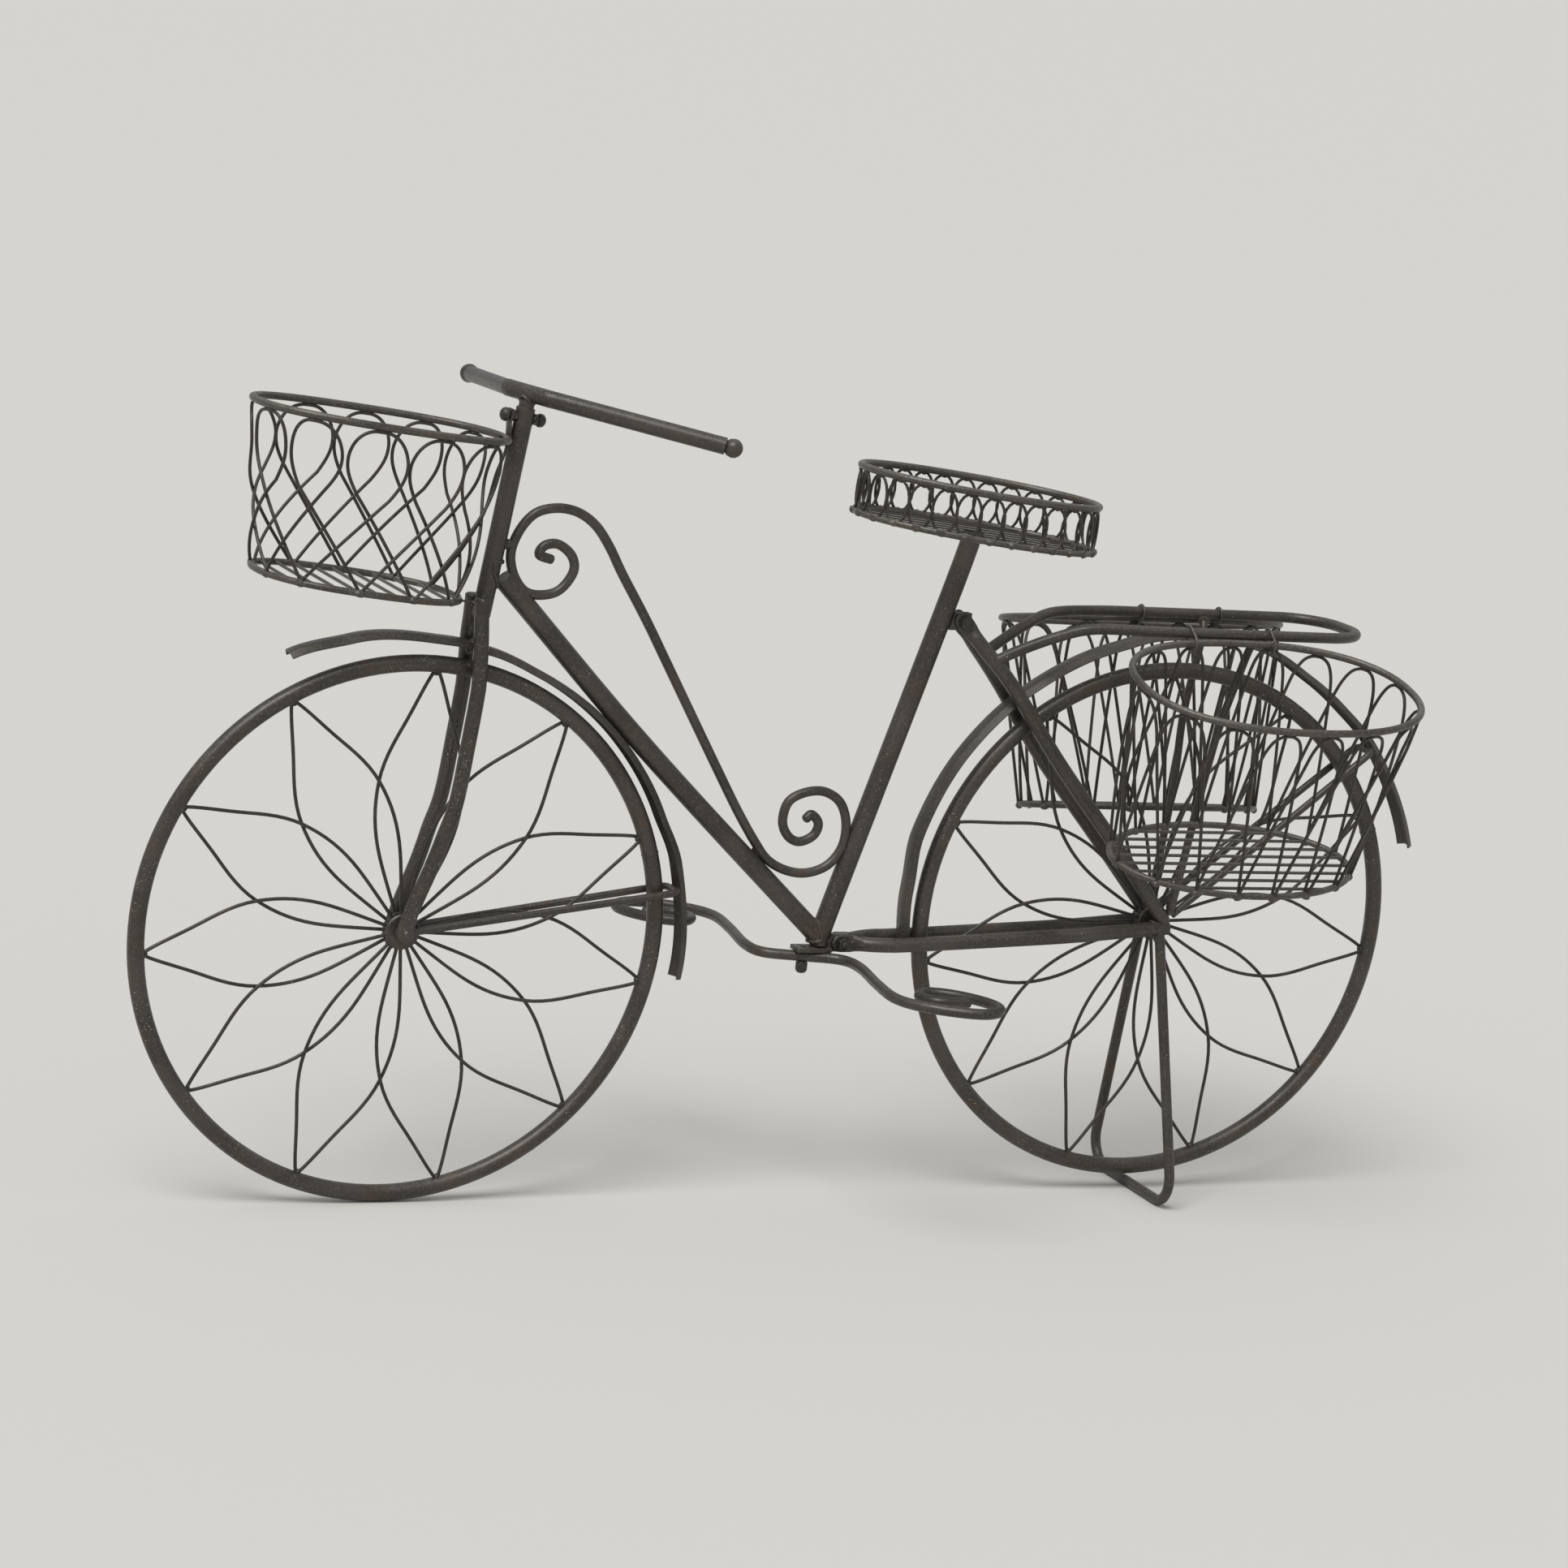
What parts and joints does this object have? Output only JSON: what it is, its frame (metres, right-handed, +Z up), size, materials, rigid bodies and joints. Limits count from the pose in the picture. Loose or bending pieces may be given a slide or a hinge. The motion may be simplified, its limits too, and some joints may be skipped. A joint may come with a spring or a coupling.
{
  "type": "bicycle planter",
  "caption": "Decorative bicycle of bent steel rod and tube, with wire baskets for plant pots in front, on top and beside the carrier, spoked wheels and a kick stand.",
  "frame": {"origin": "on the ground, under the middle of the kick stand's cross bar", "axes": "+Z up, -X towards the front of the bicycle, -Y towards the rider's left"},
  "size_m": [1.498, 0.5682, 0.8749],
  "materials": {
    "bronze_paint": "satin dark bronze paint, dusty",
    "dark_wire": "satin dark bronze paint on thin wire",
    "painted_fastener": "satin dark paint over steel bolts and nuts"
  },
  "bodies": {
    "frame": {"head_tube": "bronze_paint", "down_tube": "bronze_paint", "seat_tube": "bronze_paint", "scroll_bar": "bronze_paint", "bottom_lug": "bronze_paint", "seat_stay_lug": "bronze_paint", "chainstay_bolt": "painted_fastener", "chainstay_nut": "painted_fastener", "seatstay_bolt": "painted_fastener", "seatstay_nut": "painted_fastener", "left_fork_blade": "bronze_paint", "right_fork_blade": "bronze_paint", "front_axle": "painted_fastener", "left_chainstay": "bronze_paint", "right_chainstay": "bronze_paint", "left_seatstay": "bronze_paint", "right_seatstay": "bronze_paint", "rear_axle": "painted_fastener", "carrier_rail": "bronze_paint", "left_strut": "bronze_paint", "right_strut": "bronze_paint", "kickstand": "bronze_paint", "front_clamp_nut": "painted_fastener", "rear_clamp_nut": "painted_fastener", "front_clamp_screw": "painted_fastener", "rear_clamp_screw": "painted_fastener", "front_fender": "bronze_paint", "rear_fender": "bronze_paint", "front_fender_rod": "bronze_paint", "rear_fender_rod": "bronze_paint", "pedal_bolt": "painted_fastener", "pedal_nut": "painted_fastener", "front_basket_rim": "bronze_paint", "front_basket_wires": "dark_wire", "front_basket_strap": "bronze_paint", "front_basket_tab": "bronze_paint", "saddle_basket_rim": "bronze_paint", "saddle_basket_wires": "dark_wire"},
    "steering": {"handlebar": "bronze_paint", "handlebar_stem": "bronze_paint", "left_handlebar_cap": "bronze_paint", "right_handlebar_cap": "bronze_paint"},
    "front_wheel": {"front_rim": "bronze_paint", "front_spokes": "dark_wire", "front_hub": "bronze_paint"},
    "rear_wheel": {"rear_rim": "bronze_paint", "rear_spokes": "dark_wire", "rear_hub": "bronze_paint"},
    "left_basket": {"left_basket_rim": "bronze_paint", "left_basket_wires": "dark_wire", "left_front_hanger": "dark_wire", "left_rear_hanger": "dark_wire"},
    "right_basket": {"right_basket_rim": "bronze_paint", "right_basket_wires": "dark_wire", "right_front_hanger": "dark_wire", "right_rear_hanger": "dark_wire"},
    "pedals": {"pedal_bar": "bronze_paint"}
  },
  "joints": [
    {"name": "steer", "type": "hinge", "parent": "frame", "child": "steering", "pos_m": [-0.81367, 0, 0.84959], "axis": [0.1276, 0, 0.9918], "range_deg": [-61, 118]},
    {"name": "front_spin", "type": "hinge", "parent": "frame", "child": "front_wheel", "pos_m": [-0.898, 0, 0.294], "axis": [0, 1, 0], "continuous": true},
    {"name": "rear_spin", "type": "hinge", "parent": "frame", "child": "rear_wheel", "pos_m": [-0.014, 0, 0.311], "axis": [0, 1, 0], "continuous": true},
    {"name": "left_basket_swing", "type": "hinge", "parent": "frame", "child": "left_basket", "pos_m": [0.0092, -0.064, 0.64937], "axis": [-1, 0, 0], "range_deg": [0, 70]},
    {"name": "right_basket_swing", "type": "hinge", "parent": "frame", "child": "right_basket", "pos_m": [0.0241, 0.064, 0.64937], "axis": [1, 0, 0], "range_deg": [0, 70]},
    {"name": "pedal_turn", "type": "hinge", "parent": "frame", "child": "pedals", "pos_m": [-0.43593, 0, 0.2685], "axis": [0, 0, 1], "range_deg": [-20, 20]}
  ]
}
